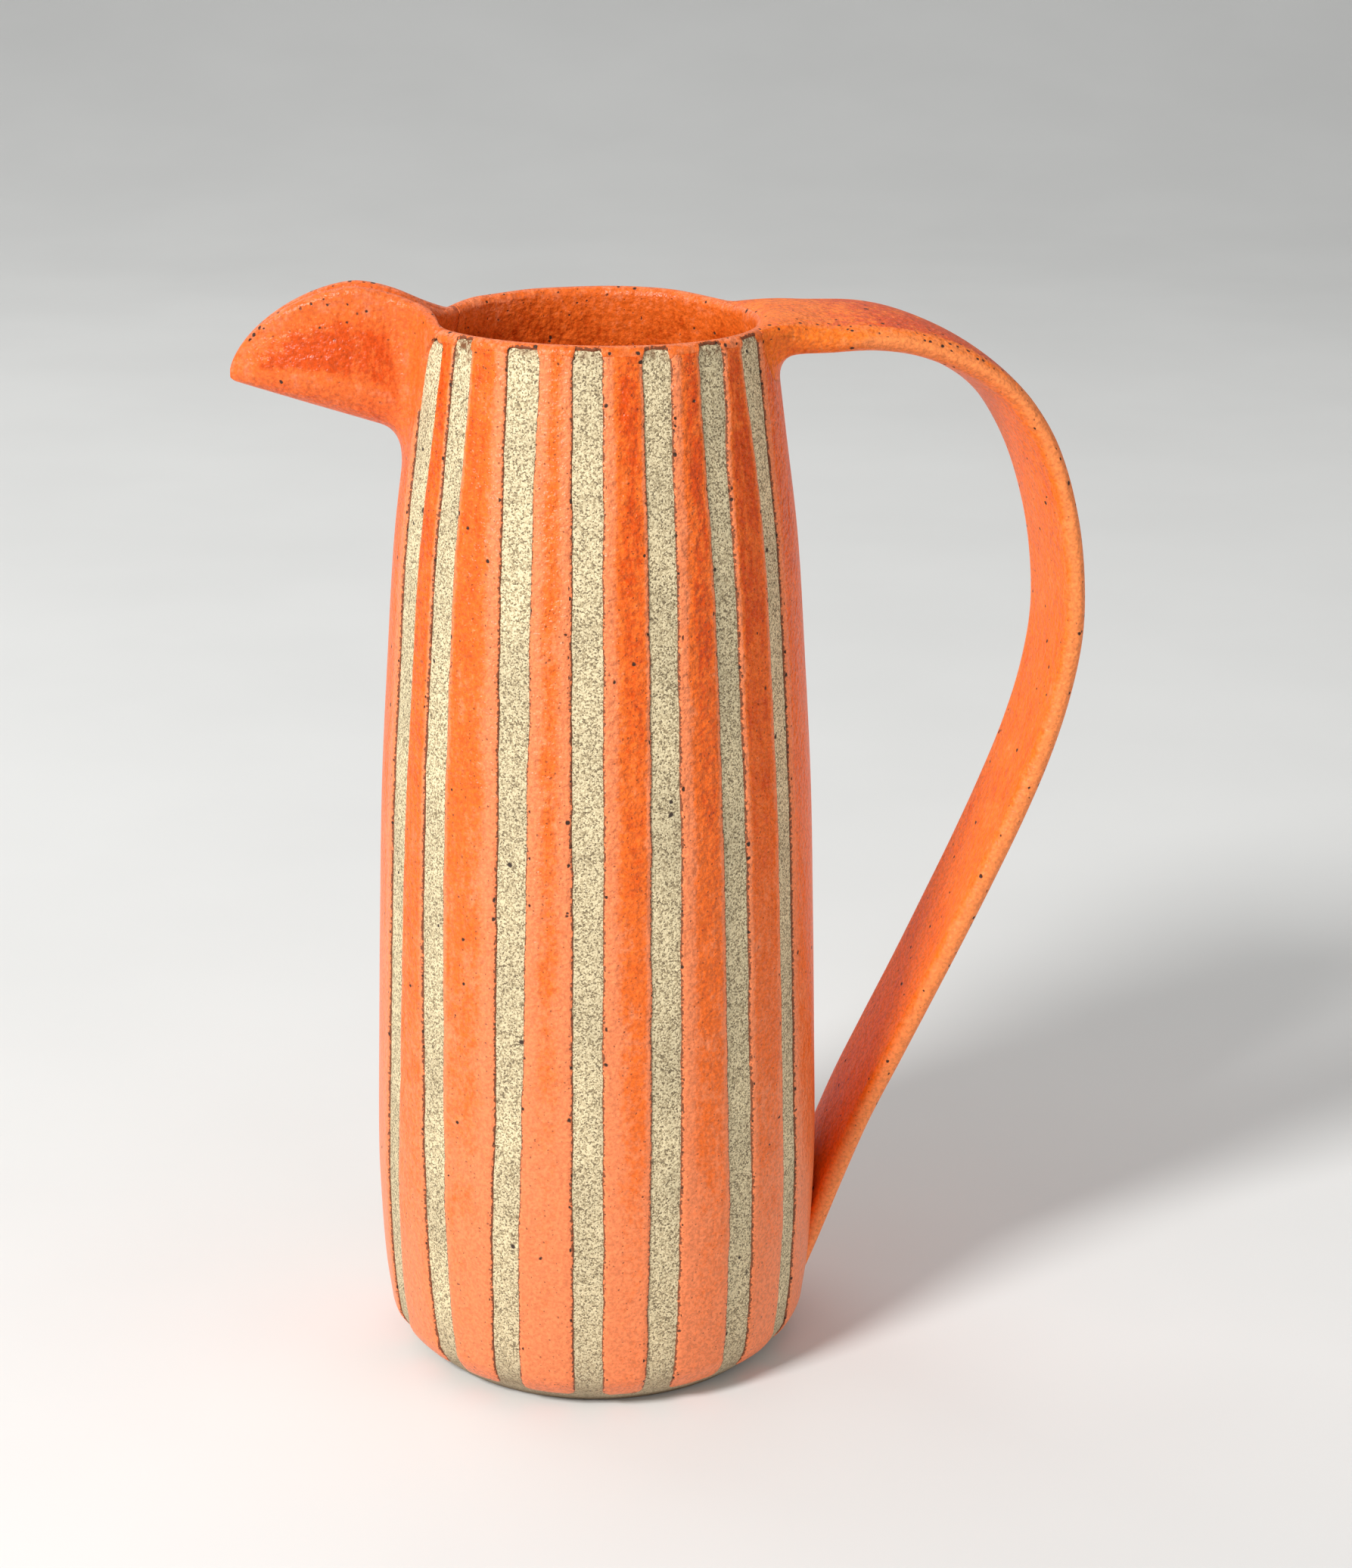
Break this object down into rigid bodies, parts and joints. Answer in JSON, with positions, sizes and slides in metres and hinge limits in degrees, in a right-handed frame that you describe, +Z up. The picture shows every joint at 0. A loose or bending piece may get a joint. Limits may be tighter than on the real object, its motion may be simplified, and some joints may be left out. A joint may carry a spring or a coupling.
{
  "type": "stoneware jug",
  "caption": "Tall straight-sided jug with a folded beak spout, a strap handle from rim to foot, and upright glaze panels parted by stripes of bare clay.",
  "frame": {"origin": "centre of the round foot, on the surface that the jug stands on", "axes": "+Z up along the jug's axis; the spout points along -X and the handle along +X, turned 8 degrees towards +Y"},
  "size_m": [0.1965, 0.1057, 0.2573],
  "materials": {
    "bare_stoneware": "bare grogged stoneware, buff with light and dark grains, rough and dry",
    "foot_stoneware": "bare stoneware toasted brown at the foot, dry",
    "spout_glaze": "satin orange glaze, paler at the lips, with iron specks",
    "handle_glaze": "satin orange glaze, paler along the edges, with iron specks",
    "liner_glaze": "satin orange glaze, darker and mottled inside",
    "panel_glaze": "satin orange glaze with a fine orange-peel surface, thin dark line at each edge"
  },
  "bodies": {
    "root": {"body_wall": "bare_stoneware", "base_slab": "foot_stoneware", "spout": "spout_glaze", "handle": "handle_glaze", "liner_glaze": "liner_glaze", "glaze_panel_1": "panel_glaze", "glaze_panel_2": "panel_glaze", "glaze_panel_3": "panel_glaze", "glaze_panel_4": "panel_glaze", "glaze_panel_5": "panel_glaze", "glaze_panel_6": "panel_glaze", "glaze_panel_7": "panel_glaze", "glaze_panel_8": "panel_glaze", "glaze_panel_9": "panel_glaze", "glaze_panel_10": "panel_glaze", "glaze_panel_11": "panel_glaze", "glaze_panel_12": "panel_glaze", "glaze_panel_13": "panel_glaze"}
  },
  "joints": []
}
